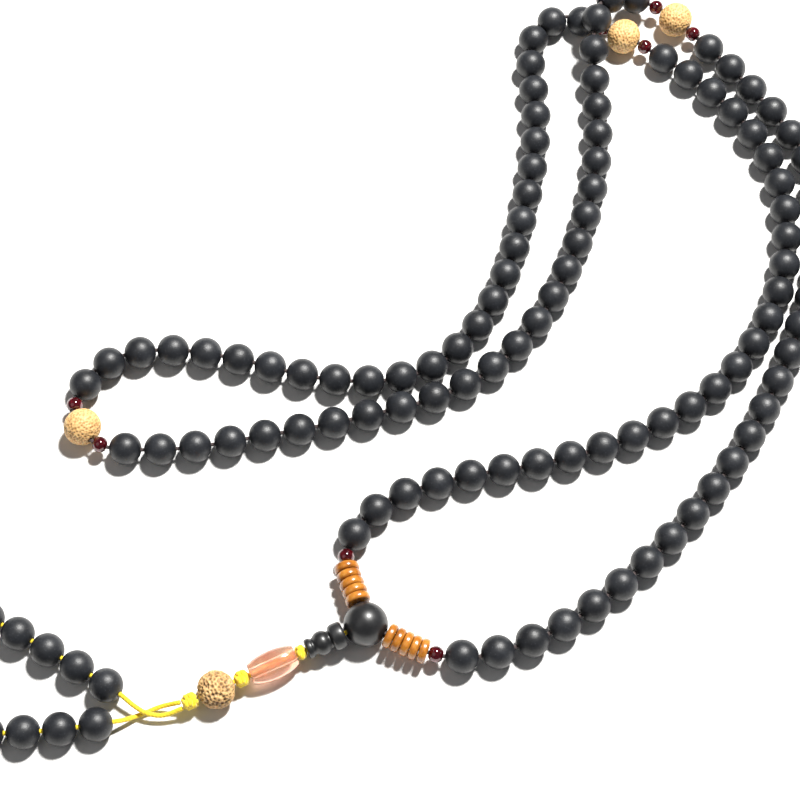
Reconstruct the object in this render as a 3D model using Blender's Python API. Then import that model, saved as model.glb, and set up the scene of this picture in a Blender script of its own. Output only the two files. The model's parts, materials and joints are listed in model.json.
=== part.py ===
"""Mala prayer beads, laid flat: 108 stone beads on one closed cord, three marker seeds with garnets,
a three-way guru bead with discs, and a pendant with two counter strands. Metres, +Z up.
The origin is under the guru bead, on the surface that the mala lies on.
"""

import math

import bpy
from mathutils import Matrix, Vector

MM = 0.001

# Main string
BEAD_D = 8.0 * MM
BEAD_GAP = 0.32 * MM
LOOSE_GAP = 0.60 * MM
QUARTER_RUNS = {
    "arm_a": (4, 7, 7, 6, 3),
    "upper": (2, 7, 7, 6, 5),
    "lower": (5, 6, 6, 5, 5),
    "arm_b": (8, 5, 6, 5, 3),
}
LOOSE_QUARTERS = ("lower", "arm_b")
GARNET_D = 4.0 * MM
GARNET_LENGTH = 3.4 * MM
MARKER_D = 9.4 * MM
MARKER_LENGTH = 8.6 * MM
DISC_D = 6.0 * MM
DISC_LENGTH = 1.85 * MM
DISC_GAP = 0.25 * MM
DISC_FACE = 0.72
DISCS_PER_ARM = 5
SMALL_GAP = 0.3 * MM
GARNET_GAP = 0.4 * MM
GARNET_FACE_D = 2.3 * MM
BEND_ROOM = 0.15 * MM
CROSSING_CLEARANCE = 0.5 * MM
# The lift at the top of the string's crossing: over a bead's side, or over the garnet by a marker.
CROSSING_RISE = max(0.9 * BEAD_D, (MARKER_D + GARNET_D) / 2 + CROSSING_CLEARANCE)

# Guru bead
GURU_D = 10.5 * MM
GURU_BASE_D = 3.2 * MM

# Pendant
TOWER_LENGTH = 9.6 * MM
TOWER_DRUM_D = 6.5 * MM
TOWER_BULB_D = 5.8 * MM
TOWER_END_D = 4.8 * MM
TOWER_GROOVE_D = 4.0 * MM
BALL_KNOT_D = 3.2 * MM
BALL_KNOT_LENGTH = 2.2 * MM
AGATE_D = 7.0 * MM
AGATE_END_D = 4.8 * MM
AGATE_LENGTH = 11.5 * MM
PLAIT_WIDTH = 4.0 * MM
NEAR_PLAIT_LENGTH = 3.6 * MM
FAR_PLAIT_LENGTH = 3.9 * MM
SEED_D = 9.2 * MM
SEED_LENGTH = 8.6 * MM
END_KNOT_D = 4.4 * MM
END_KNOT_LENGTH = 3.8 * MM
COUNTER_RUNS = (5, 5)
STRAND_SPREAD = 0.8 * MM
STRAND_LEAD = {"upper": 16.2 * MM, "lower": 16.8 * MM}

# Cords and bores
MAIN_CORD_D = 1.0 * MM
PENDANT_CORD_D = 1.2 * MM
BORE_CLEARANCE = 0.35 * MM
WALL_AT_MOUTH = 0.5 * MM
CORD_SETBACK = 1.6 * MM

# Mesh detail
BEAD_SIDES = 8
BORE_SIDES = 6
TURNED_SIDES = 12
SMALL_SIDES = 8
SHOULDER = 0.70
CURVE_STEPS = 24
BEND_ROUNDS = 5

# Routes at the size for which they were laid out: x and y in mm, and the share of CROSSING_RISE.
ARM_A_ROUTE = [
    (0.0, 0.0, 0.0),
    (-2.2, 7.0, 0.0),
    (-4.3, 13.0, 0.0),
    (-4.9, 18.8, 0.0),
    (-2.6, 24.6, 0.0),
    (2.4, 29.8, 0.0),
    (8.8, 33.6, 0.0),
    (23.8, 38.2, 0.0),
    (40.0, 41.1, 0.0),
    (56.4, 45.6, 0.0),
    (72.2, 52.6, 0.0),
    (86.4, 62.8, 0.0),
    (97.0, 76.6, 0.0),
    (104.0, 92.6, 0.0),
    (106.6, 109.2, 0.0),
    (105.2, 124.8, 0.0),
    (98.6, 139.0, 0.0),
    (89.4, 150.6, 0.0),
    (80.0, 159.4, 0.0),
]
UPPER_ROUTE = [
    (70.0, 166.4, 0.0),
    (63.0, 170.0, 0.0),
    (56.0, 174.0, 0.0),
    (48.0, 174.2, 0.0),
    (43.0, 167.4, 0.0),
    (42.6, 158.0, 0.0),
    (43.6, 146.0, 0.0),
    (42.8, 130.0, 0.0),
    (39.6, 113.0, 0.0),
    (35.2, 96.0, 0.0),
    (27.6, 79.8, 0.0),
    (17.4, 68.6, 0.0),
    (4.0, 64.0, 0.0),
    (-12.4, 64.8, 0.0),
    (-29.0, 69.2, 0.0),
    (-45.4, 72.4, 0.0),
    (-59.4, 71.4, 0.0),
    (-68.4, 65.2, 0.0),
]
LOWER_ROUTE = [
    (-71.6, 55.6, 0.0),
    (-67.8, 48.0, 0.0),
    (-59.6, 45.4, 0.0),
    (-44.4, 45.6, 0.0),
    (-28.0, 48.4, 0.0),
    (-11.6, 51.6, 0.0),
    (4.4, 55.6, 0.0),
    (19.4, 60.4, 0.0),
    (33.0, 69.4, 0.0),
    (44.2, 83.8, 0.0),
    (52.2, 101.0, 0.0),
    (57.6, 120.0, 0.0),
    (59.6, 136.0, 0.0),
    (59.6, 149.0, 0.0),
    (59.4, 155.4, 0.07),
    (59.3, 163.0, 0.556),
    (60.0, 170.8, 1.0),
    (64.2, 177.8, 0.833),
    (71.0, 179.0, 0.389),
]
ARM_B_ROUTE = [
    (76.8, 177.0, 0.083),
    (82.2, 173.0, 0.0),
    (87.4, 167.4, 0.0),
    (95.4, 158.0, 0.0),
    (105.4, 144.2, 0.0),
    (113.2, 129.6, 0.0),
    (115.6, 112.8, 0.0),
    (113.2, 95.0, 0.0),
    (106.6, 77.2, 0.0),
    (99.0, 60.6, 0.0),
    (91.0, 46.4, 0.0),
    (81.4, 33.0, 0.0),
    (70.6, 20.6, 0.0),
    (58.6, 9.4, 0.0),
    (45.2, -0.4, 0.0),
    (31.0, -6.4, 0.0),
    (22.4, -7.8, 0.0),
    (16.0, -7.0, 0.0),
    (9.2, -4.6, 0.0),
    (0.0, 0.0, 0.0),
]
# The pendant's route in mm: x, y and z.
PENDANT_ROUTE = [
    (0.0, 0.0, 5.25),
    (-9.1, -4.05, 5.0),
    (-15.0, -6.7, 4.5),
    (-22.0, -9.9, 4.0),
    (-29.0, -13.2, 4.2),
    (-34.5, -15.8, 4.6),
    (-42.4, -19.4, 3.9),
]
# The strands' routes past the last plait's end: x and y from it in mm, and z in bead radii.
UPPER_STRAND_ROUTE = [
    (-4.2, -2.0, 0.625),
    (-8.0, -1.6, 0.675),
    (-11.0, 0.0, 0.825),
    (-13.6, 2.0, 0.975),
    (-16.6, 4.2, 1.0),
    (-30.9, 12.8, 1.0),
    (-45.4, 20.8, 1.0),
    (-60.6, 27.6, 1.0),
    (-77.0, 32.0, 1.0),
    (-95.6, 34.0, 1.0),
]
LOWER_STRAND_ROUTE = [
    (-5.0, 0.3, 0.475),
    (-9.2, -1.1, 0.225),
    (-12.8, -2.9, 0.55),
    (-15.8, -4.0, 0.95),
    (-19.6, -4.8, 1.0),
    (-36.2, -6.6, 1.0),
    (-52.4, -6.4, 1.0),
    (-68.4, -3.4, 1.0),
    (-84.0, 1.8, 1.0),
    (-99.0, 8.0, 1.0),
]


def clear_scene():
    for old in list(bpy.data.objects):
        bpy.data.objects.remove(old, do_unlink=True)


def material(name, colour, roughness, metallic=0.0):
    """A Principled BSDF, made once for each name."""
    found = bpy.data.materials.get(name)
    if found:
        return found
    made = bpy.data.materials.new(name)
    made.use_nodes = True
    shader = made.node_tree.nodes["Principled BSDF"]
    shader.inputs["Base Color"].default_value = (*colour, 1.0)
    shader.inputs["Roughness"].default_value = roughness
    shader.inputs["Metallic"].default_value = metallic
    return made


MATERIALS = {
    "stone": ((0.045, 0.047, 0.052), 0.62),
    "guru_stone": ((0.018, 0.018, 0.020), 0.28),
    "disc": ((0.62, 0.20, 0.035), 0.25),
    "garnet": ((0.16, 0.005, 0.02), 0.08),
    "marker_seed": ((0.62, 0.40, 0.17), 0.6),
    "pendant_seed": ((0.47, 0.27, 0.11), 0.6),
    "agate": ((0.80, 0.36, 0.20), 0.18),
    "yellow_cord": ((0.90, 0.62, 0.03), 0.7),
    "dark_cord": ((0.03, 0.025, 0.025), 0.8),
}


def smooth_curve(points):
    """A Catmull-Rom curve through the points, as a dense polyline."""
    ends = [2 * points[0] - points[1], *points, 2 * points[-1] - points[-2]]
    line = []
    for a, b, c, d in zip(ends, ends[1:], ends[2:], ends[3:]):
        for step in range(CURVE_STEPS):
            t = step / CURVE_STEPS
            line.append(
                0.5 * (2 * b + (c - a) * t + (2 * a - 5 * b + 4 * c - d) * t**2)
                + 0.5 * (3 * b - a - 3 * c + d) * t**3
            )
    line.append(points[-1].copy())
    return line


def walk(line, lengths, start=None):
    """Points on the line whose straight distances are the lengths, and how far the walk overran."""
    found = [start or line[0].copy()]
    at = 0
    for number, length in enumerate(lengths):
        here = found[-1]
        while at < len(line) - 1 and (line[at] - here).length < length:
            at += 1
        if (line[at] - here).length < length:
            return found, sum(lengths[number:])
        low, high = line[at - 1], line[at]
        for _ in range(30):
            middle = (low + high) / 2
            if (middle - here).length < length:
                low = middle
            else:
                high = middle
        found.append(high.copy())
    left = sum((b - a).length for a, b in zip(line[at:], line[at + 1 :]))
    return found, -left - (line[at] - found[-1]).length


def closed_string(route, lengths):
    """The route's plan, scaled about the guru bead until the lengths fill it exactly."""
    low, high = 0.4, 2.5
    found = []
    for _ in range(30):
        scale = (low + high) / 2
        plan = scale * MM
        points = [Vector((x * plan, y * plan, rise * CROSSING_RISE)) for x, y, rise in route]
        reached, over = walk(smooth_curve(points), lengths)
        if over > 0:
            low = scale
        else:
            high = scale
            found = reached
    return found


class Place:
    """Where a strung piece lies: its centre and the frame along its bore."""

    def __init__(self, start, end):
        self.start, self.end = start, end
        self.centre = (start + end) / 2
        self.along = (end - start).normalized()
        self.side = Vector((0, 0, 1)).cross(self.along).normalized()
        self.up = self.along.cross(self.side)

    def matrix(self):
        turn = Matrix((self.along, self.side, self.up)).transposed().to_4x4()
        return Matrix.Translation(self.centre) @ turn


def ring_points(radius, sides, turn=0.5):
    """A regular polygon whose sides, not corners, touch the radius. A side faces down."""
    corner = radius / math.cos(math.pi / sides)
    angles = [2 * math.pi * (k + turn) / sides for k in range(sides)]
    return [(corner * math.sin(a), -corner * math.cos(a)) for a in angles]


def mesh_object(name, points, faces, slot, origin=None):
    mesh = bpy.data.meshes.new(name)
    base = origin or Matrix.Identity(4)
    inverse = base.inverted()
    mesh.from_pydata([inverse @ p for p in points], [], faces)
    mesh.materials.append(material(slot, *MATERIALS[slot]))
    mesh.shade_smooth()
    mesh.set_sharp_from_angle(angle=math.radians(50))
    made = bpy.data.objects.new(name, mesh)
    made.matrix_world = base
    bpy.context.scene.collection.objects.link(made)
    return made


def band(first, second, count):
    """Quads between two rings that start at these vertices."""
    return [
        (first + k, first + (k + 1) % count, second + (k + 1) % count, second + k)
        for k in range(count)
    ]


def annulus(outer, inner, sides, inner_sides, flip):
    """Triangles between an outer ring and an inner ring with fewer corners."""
    faces = []
    i = j = 0
    while i < sides or j < inner_sides:
        if j == inner_sides or (i < sides and i / sides <= j / inner_sides):
            faces.append((outer + i % sides, outer + (i + 1) % sides, inner + j % inner_sides))
            i += 1
        else:
            faces.append(
                (outer + i % sides, inner + (j + 1) % inner_sides, inner + j % inner_sides)
            )
            j += 1
    return [tuple(reversed(f)) for f in faces] if flip else faces


def lofted(name, rings, bore, slot, sides, origin=None, bore_sides=BORE_SIDES):
    """One closed body: outer rings given as (centre, side, up, radius), with a bore given as
    (centre, side, up, radius) from its first mouth to its last."""
    points, faces = [], []
    for centre, side, up, radius in rings:
        points += [centre + side * x + up * y for x, y in ring_points(radius, sides)]
    inner_start = len(points)
    for centre, side, up, radius in bore:
        points += [centre + side * x + up * y for x, y in ring_points(radius, bore_sides)]
    for k in range(len(rings) - 1):
        faces += band(k * sides, (k + 1) * sides, sides)
    for k in range(len(bore) - 1):
        first = inner_start + k * bore_sides
        faces += [f[::-1] for f in band(first, first + bore_sides, bore_sides)]
    last_outer = (len(rings) - 1) * sides
    if bore:
        last_inner = inner_start + (len(bore) - 1) * bore_sides
        faces += annulus(0, inner_start, sides, bore_sides, True)
        faces += annulus(last_outer, last_inner, sides, bore_sides, False)
    else:
        faces.append(tuple(reversed(range(sides))))
        faces.append(tuple(range(last_outer, last_outer + sides)))
    return mesh_object(name, points, faces, slot, origin)


def turned(name, place, profile, slot, cord_d, sides=TURNED_SIDES):
    """A piece turned about its bore. The profile is (distance along, radius) from its middle."""
    rings = [(place.centre + place.along * x, place.side, place.up, r) for x, r in profile]
    bore_r = cord_d / 2 + BORE_CLEARANCE
    bore = [
        (place.centre + place.along * x, place.side, place.up, bore_r)
        for x in ((profile[0][0], profile[-1][0]) if cord_d else ())
    ]
    return lofted(name, rings, bore, slot, sides, place.matrix())


def ball_profile(diameter, length, mouth_r, steps):
    """A ball or barrel profile from mouth to mouth."""
    half = length / 2
    start = math.acos(min(0.95, mouth_r / (diameter / 2)))
    profile = []
    for k in range(steps + 1):
        angle = -start + 2 * start * k / steps
        profile.append((half * math.sin(angle) / math.sin(start), diameter / 2 * math.cos(angle)))
    return profile


def bead_run(name, places, cord_d):
    """Several beads in one body, joined by thin necks at the middle of each gap."""
    radius = BEAD_D / 2
    mouth_r = cord_d / 2 + BORE_CLEARANCE + WALL_AT_MOUTH
    bore_r = cord_d / 2 + BORE_CLEARANCE
    half = math.sqrt(radius**2 - mouth_r**2)
    rings, bore = [], []
    for number, place in enumerate(places):
        frame = (place.side, place.up)
        first_mouth = (place.centre - place.along * half, *frame)
        last_mouth = (place.centre + place.along * half, *frame)
        if number == 0:
            rings.append((*first_mouth, mouth_r))
            bore.append((*first_mouth, bore_r))
        for share in (-SHOULDER, 0.0, SHOULDER):
            ring_r = radius * math.sqrt(1 - share**2)
            rings.append((place.centre + place.along * radius * share, *frame, ring_r))
        if number == len(places) - 1:
            rings.append((*last_mouth, mouth_r))
            bore.append((*last_mouth, bore_r))
        else:
            after = places[number + 1]
            middle = Place(place.centre, after.centre)
            neck = (place.end, middle.side, middle.up)
            rings.append((*neck, mouth_r))
            bore.append((*neck, bore_r))
    return lofted(name, rings, bore, "stone", BEAD_SIDES)


def cord(name, points, diameter, slot):
    """A tube along the points, with closed ends."""
    curve = bpy.data.curves.new(name, "CURVE")
    curve.dimensions = "3D"
    curve.bevel_depth = diameter / 2
    curve.bevel_resolution = 2
    curve.use_fill_caps = True
    spline = curve.splines.new("POLY")
    spline.points.add(len(points) - 1)
    for held, point in zip(spline.points, points):
        held.co = (*point, 1.0)
    spline.use_smooth = True
    curve.materials.append(material(slot, *MATERIALS[slot]))
    made = bpy.data.objects.new(name, curve)
    bpy.context.scene.collection.objects.link(made)
    return made


def guru_bead(exits):
    """The three-way bead: turned about Z, flat underneath, with bores that meet inside.
    The exits are (a point on the bore's line, diameter of its cord)."""
    radius = GURU_D / 2
    base = math.asin(GURU_BASE_D / GURU_D)
    rings = 10
    sides = 24
    points, faces = [], []
    for k in range(rings + 1):
        angle = math.pi - base - (math.pi - 2 * base) * k / rings
        height = radius + radius * math.cos(angle) / math.cos(base)
        points += [
            Vector((x, y, height)) for x, y in ring_points(radius * math.sin(angle), sides)
        ]
    for k in range(rings):
        faces += band(k * sides, (k + 1) * sides, sides)
    faces.append(tuple(reversed(range(sides))))
    faces.append(tuple(range(rings * sides, (rings + 1) * sides)))
    bead = mesh_object("guru_bead", points, faces, "guru_stone")
    centre = Vector((0, 0, radius))
    for number, (point, cord_d) in enumerate(exits):
        out = (point - centre).normalized()
        place = Place(centre - out * cord_d * 0.5, centre + out * (radius + 1 * MM))
        half = (place.end - place.start).length / 2
        bore_r = cord_d / 2 + BORE_CLEARANCE + 0.1 * MM
        cutter = turned(
            f"cut_{number}", place, [(-half, bore_r), (half, bore_r)], "stone", 0, SMALL_SIDES
        )
        cutter.hide_render = True
        cutter.display_type = "WIRE"
        cut = bead.modifiers.new("bore", "BOOLEAN")
        cut.operation = "DIFFERENCE"
        cut.solver = "EXACT"
        cut.object = cutter
    return bead


def tower(place):
    """The turned bead next to the guru: drum, groove, bulb, groove and a small end flange."""
    half = TOWER_LENGTH / 2
    drum, bulb, flange, groove = (
        d / 2 for d in (TOWER_DRUM_D, TOWER_BULB_D, TOWER_END_D, TOWER_GROOVE_D)
    )
    shares = [
        (0.0, drum * 0.84),
        (0.06, drum),
        (0.30, drum),
        (0.36, groove),
        (0.42, groove),
        (0.50, bulb * 0.88),
        (0.60, bulb),
        (0.72, bulb * 0.84),
        (0.78, groove),
        (0.83, groove),
        (0.87, flange),
        (0.97, flange),
        (1.0, flange * 0.8),
    ]
    profile = [(-half + TOWER_LENGTH * share, r) for share, r in shares]
    return turned("stupa_bead", place, profile, "guru_stone", PENDANT_CORD_D)


def plait(name, place, length, bored=True):
    """A square plaited knot, as a block with rounded edges."""
    half, wide = length / 2, PLAIT_WIDTH / 2
    profile = [(-half, wide * 0.8), (-half * 0.7, wide), (half * 0.7, wide), (half, wide * 0.8)]
    return turned(
        name, place, profile, "yellow_cord", PENDANT_CORD_D if bored else 0, SMALL_SIDES
    )


LENGTHS = {
    "guru": GURU_D,
    "bead": BEAD_D,
    "loose_bead": BEAD_D,
    "disc": DISC_LENGTH,
    "garnet": GARNET_LENGTH,
    "marker": MARKER_LENGTH,
}


def string_kinds():
    """Every piece on the closed string, in order from the guru bead and back to it."""
    discs = ["disc"] * DISCS_PER_ARM
    marker = ["garnet", "marker", "garnet"]
    quarters = {
        name: ["loose_bead" if name in LOOSE_QUARTERS else "bead"] * sum(runs)
        for name, runs in QUARTER_RUNS.items()
    }
    return (
        ["guru", *discs, "garnet", *quarters["arm_a"], *marker, *quarters["upper"], *marker]
        + [*quarters["lower"], *marker, *quarters["arm_b"], "garnet", *discs, "guru"]
    )


def gap_between(first, second, bend):
    """The gap between two pieces, wide enough for the cord's bend between them."""
    if "disc" in (first, second):
        least = DISC_D * DISC_FACE * math.tan(bend / 2) + BEND_ROOM
        return max(least, DISC_GAP if first == second else SMALL_GAP)
    if "garnet" in (first, second):
        return max(GARNET_FACE_D * math.tan(bend / 2) + BEND_ROOM, GARNET_GAP)
    size = (LENGTHS[first] + LENGTHS[second]) / 2
    least = LOOSE_GAP if first == "loose_bead" else BEAD_GAP
    return max((size + BEND_ROOM) / math.cos(bend / 2) - size, least)


def gap_heights(kinds, points):
    """The height of the cord at each gap, so that every piece lies on the surface."""
    resting = {"guru": GURU_D / 2, "marker": MARKER_D / 2}
    resting["bead"] = resting["loose_bead"] = BEAD_D / 2
    known = {}
    for number, pair in enumerate(zip(kinds, kinds[1:])):
        heights = [resting[kind] for kind in pair if kind in resting]
        if heights:
            known[number] = max(heights)
    found = []
    for number in range(len(kinds) - 1):
        before = max(k for k in known if k <= number)
        after = min(k for k in known if k >= number)
        share = (number - before) / max(1, after - before)
        found.append(known[before] + (known[after] - known[before]) * share)
    return [Vector((p.x, p.y, p.z + height)) for p, height in zip(points, found)]


def string_places():
    """The place of each piece between the guru bead's two sides, from gap middle to gap middle."""
    kinds = string_kinds()
    route = ARM_A_ROUTE + UPPER_ROUTE + LOWER_ROUTE + ARM_B_ROUTE
    bends = [0.0] * (len(kinds) - 1)
    for _ in range(BEND_ROUNDS):
        gaps = [gap_between(a, b, bend) for a, b, bend in zip(kinds, kinds[1:], bends)]
        spans = [
            LENGTHS[kind] + (before + after) / 2
            for kind, before, after in zip(kinds[1:-1], gaps, gaps[1:])
        ]
        ends = [GURU_D / 2 + gaps[0] / 2, GURU_D / 2 + gaps[-1] / 2]
        points = closed_string(route, [ends[0], *spans, ends[1]])
        points = gap_heights(kinds, points[1 : len(kinds)])
        places = [Place(a, b) for a, b in zip(points, points[1:])]
        bends = [a.along.angle(b.along) for a, b in zip(places, places[1:])]
        bends = [0.0, *bends, 0.0]
    return kinds[1:-1], places


def build_string(kinds, places):
    counts = {"disc": 0, "garnet": 0, "marker": 0}
    names = {"disc": "disc", "garnet": "garnet", "marker": "marker_seed"}
    strings = []
    for quarter, runs in QUARTER_RUNS.items():
        strings += [(f"{quarter}_beads_{k + 1}", size) for k, size in enumerate(runs)]
    waiting = []
    mouth_r = MAIN_CORD_D / 2 + BORE_CLEARANCE + WALL_AT_MOUTH
    for kind, place in zip(kinds, places):
        half = LENGTHS[kind] / 2
        if "bead" in kind:
            waiting.append(place)
            name, size = strings[0]
            if len(waiting) == size:
                bead_run(name, waiting, MAIN_CORD_D)
                strings.pop(0)
                waiting = []
            continue
        counts[kind] += 1
        name = f"{names[kind]}_{counts[kind]}"
        if kind == "disc":
            rim = DISC_D / 2
            face = rim * DISC_FACE
            profile = [(-half, face), (-half * 0.4, rim), (half * 0.4, rim), (half, face)]
            turned(name, place, profile, "disc", MAIN_CORD_D)
        elif kind == "garnet":
            profile = ball_profile(GARNET_D, GARNET_LENGTH, GARNET_FACE_D / 2, 4)
            turned(name, place, profile, "garnet", MAIN_CORD_D, SMALL_SIDES)
        else:
            profile = ball_profile(MARKER_D, MARKER_LENGTH, mouth_r, 6)
            turned(name, place, profile, "marker_seed", MAIN_CORD_D)


def build_main_cord(places):
    """One cord through the whole string, whose ends lie inside the guru bead."""
    centre = Vector((0, 0, GURU_D / 2))
    first, last = places[0].start, places[-1].end
    start = centre + (first - centre).normalized() * CORD_SETBACK
    end = centre + (last - centre).normalized() * CORD_SETBACK
    points = [start, *[place.start for place in places], last, end]
    cord("main_cord", points, MAIN_CORD_D, "dark_cord")


def build_pendant():
    """The pendant's pieces and cord, and the place of its last plait."""
    lengths = [
        TOWER_LENGTH,
        BALL_KNOT_LENGTH,
        AGATE_LENGTH,
        NEAR_PLAIT_LENGTH,
        SEED_LENGTH,
        FAR_PLAIT_LENGTH,
    ]
    spans = [GURU_D / 2 + SMALL_GAP / 2, *[length + SMALL_GAP for length in lengths]]
    line = smooth_curve([Vector(point) * MM for point in PENDANT_ROUTE])
    points, _ = walk(extended(line), spans)
    places = [Place(a, b) for a, b in zip(points[1:], points[2:])]
    bore_r = PENDANT_CORD_D / 2 + BORE_CLEARANCE
    mouth_r = bore_r + 0.3 * MM
    tower(places[0])
    turned("ball_knot", places[1], ball_profile(BALL_KNOT_D, BALL_KNOT_LENGTH, mouth_r, 4),
           "yellow_cord", PENDANT_CORD_D, SMALL_SIDES)
    turned("agate_barrel", places[2], ball_profile(AGATE_D, AGATE_LENGTH, AGATE_END_D / 2, 6),
           "agate", PENDANT_CORD_D)
    plait("near_plait", places[3], NEAR_PLAIT_LENGTH)
    turned("pendant_seed", places[4], ball_profile(SEED_D, SEED_LENGTH, mouth_r + 0.3 * MM, 6),
           "pendant_seed", PENDANT_CORD_D)
    plait("far_plait", places[5], FAR_PLAIT_LENGTH, bored=False)
    centre = Vector((0, 0, GURU_D / 2))
    start = centre + (places[0].start - centre).normalized() * CORD_SETBACK
    last = places[5].start - places[5].along * SMALL_GAP / 2
    cord("pendant_cord", [start, *[p.start for p in places[:5]], last], PENDANT_CORD_D,
         "yellow_cord")
    return places


def build_strand(name, route, plait_place, spread):
    """One counter strand: its cord, its beads in runs, and the knot at its end."""
    end = plait_place.end
    first = end + plait_place.along * SMALL_GAP / 2 + plait_place.side * spread
    past = [Vector((end.x + x * MM, end.y + y * MM, z * BEAD_D / 2)) for x, y, z in route]
    line = extended(smooth_curve([first, *past]))
    start = next(k for k in range(len(line)) if distance_along(line, k) >= STRAND_LEAD[name])
    spans = [BEAD_D + BEAD_GAP] * sum(COUNTER_RUNS)
    points, _ = walk(line[start:], [*spans, END_KNOT_LENGTH + SMALL_GAP])
    places = [Place(a, b) for a, b in zip(points, points[1:])]
    at = 0
    for k, size in enumerate(COUNTER_RUNS):
        bead_run(f"{name}_counters_{k + 1}", places[at : at + size], PENDANT_CORD_D)
        at += size
    mouth_r = END_KNOT_D / 2 * 0.4
    turned(f"{name}_end_knot", places[-1], ball_profile(END_KNOT_D, END_KNOT_LENGTH, mouth_r, 4),
           "yellow_cord", 0, SMALL_SIDES)
    free = thinned(line[: start + 1], 1.2 * MM)
    last = places[-1].start - places[-1].along * SMALL_GAP / 2
    cord(f"{name}_strand_cord", [*free, *[p.start for p in places[1:-1]], last],
         PENDANT_CORD_D, "yellow_cord")


def extended(line):
    """The line, carried straight on past its end."""
    onward = (line[-1] - line[-2]).normalized()
    return line + [line[-1] + onward * k * MM for k in range(1, 40)]


def distance_along(line, count):
    return sum((b - a).length for a, b in zip(line[:count], line[1 : count + 1]))


def thinned(line, least):
    """Points of a dense line at least this far apart, with both of its ends."""
    kept = [line[0]]
    for point in line[1:-1]:
        if (point - kept[-1]).length >= least and (point - line[-1]).length >= least / 2:
            kept.append(point)
    return [*kept, line[-1]]


def main():
    clear_scene()
    kinds, places = string_places()
    build_string(kinds, places)
    build_main_cord(places)
    pendant = build_pendant()
    exits = [(places[0].start, MAIN_CORD_D), (places[-1].end, MAIN_CORD_D)]
    guru_bead([*exits, (pendant[0].start, PENDANT_CORD_D)])
    build_strand("upper", UPPER_STRAND_ROUTE, pendant[-1], STRAND_SPREAD)
    build_strand("lower", LOWER_STRAND_ROUTE, pendant[-1], -STRAND_SPREAD)


main()
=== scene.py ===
"""Mala prayer beads laid flat: the visible model, its materials, camera and light."""

import json
import math
import random

import bpy
import numpy as np
from mathutils import Matrix, Vector


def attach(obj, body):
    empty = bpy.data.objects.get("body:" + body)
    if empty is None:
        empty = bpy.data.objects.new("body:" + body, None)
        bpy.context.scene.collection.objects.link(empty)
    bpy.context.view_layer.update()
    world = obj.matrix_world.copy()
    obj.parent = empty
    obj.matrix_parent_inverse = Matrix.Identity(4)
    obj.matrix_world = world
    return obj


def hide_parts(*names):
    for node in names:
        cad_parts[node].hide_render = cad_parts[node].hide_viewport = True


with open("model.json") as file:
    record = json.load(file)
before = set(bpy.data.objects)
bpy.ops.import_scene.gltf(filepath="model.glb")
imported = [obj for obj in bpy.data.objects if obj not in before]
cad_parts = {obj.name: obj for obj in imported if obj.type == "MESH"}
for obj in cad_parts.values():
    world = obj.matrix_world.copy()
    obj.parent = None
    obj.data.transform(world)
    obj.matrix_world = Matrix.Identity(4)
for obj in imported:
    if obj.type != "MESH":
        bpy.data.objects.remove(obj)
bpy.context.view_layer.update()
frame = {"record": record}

MM = 0.001

# Sizes and routes are the same as the part's. Lengths are in metres.
# Main string
BEAD_D = 8.0 * MM
BEAD_GAP = 0.32 * MM
LOOSE_GAP = 0.60 * MM
QUARTER_RUNS = {
    "arm_a": (4, 7, 7, 6, 3),
    "upper": (2, 7, 7, 6, 5),
    "lower": (5, 6, 6, 5, 5),
    "arm_b": (8, 5, 6, 5, 3),
}
LOOSE_QUARTERS = ("lower", "arm_b")
GARNET_D = 4.0 * MM
GARNET_LENGTH = 3.4 * MM
MARKER_D = 9.4 * MM
MARKER_LENGTH = 8.6 * MM
DISC_D = 6.0 * MM
DISC_LENGTH = 1.85 * MM
DISC_GAP = 0.25 * MM
DISC_FACE = 0.72
DISCS_PER_ARM = 5
SMALL_GAP = 0.3 * MM
GARNET_GAP = 0.4 * MM
GARNET_FACE_D = 2.3 * MM
BEND_ROOM = 0.15 * MM
CROSSING_CLEARANCE = 0.5 * MM
# The lift at the top of the string's crossing: over a bead's side, or over the garnet by a marker.
CROSSING_RISE = max(0.9 * BEAD_D, (MARKER_D + GARNET_D) / 2 + CROSSING_CLEARANCE)

# Guru bead
GURU_D = 10.5 * MM
GURU_BASE_D = 3.2 * MM

# Pendant
TOWER_LENGTH = 9.6 * MM
TOWER_DRUM_D = 6.5 * MM
TOWER_BULB_D = 5.8 * MM
TOWER_END_D = 4.8 * MM
TOWER_GROOVE_D = 4.0 * MM
BALL_KNOT_D = 3.2 * MM
BALL_KNOT_LENGTH = 2.2 * MM
AGATE_D = 7.0 * MM
AGATE_END_D = 4.8 * MM
AGATE_LENGTH = 11.5 * MM
PLAIT_WIDTH = 4.0 * MM
NEAR_PLAIT_LENGTH = 3.6 * MM
FAR_PLAIT_LENGTH = 3.9 * MM
SEED_D = 9.2 * MM
SEED_LENGTH = 8.6 * MM
END_KNOT_D = 4.4 * MM
END_KNOT_LENGTH = 3.8 * MM
COUNTER_RUNS = (5, 5)
STRAND_SPREAD = 0.8 * MM
STRAND_LEAD = {"upper": 16.2 * MM, "lower": 16.8 * MM}

# Cords
MAIN_CORD_D = 1.0 * MM
PENDANT_CORD_D = 1.2 * MM
CORD_SETBACK = 1.6 * MM

CURVE_STEPS = 24
BEND_ROUNDS = 5

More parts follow.
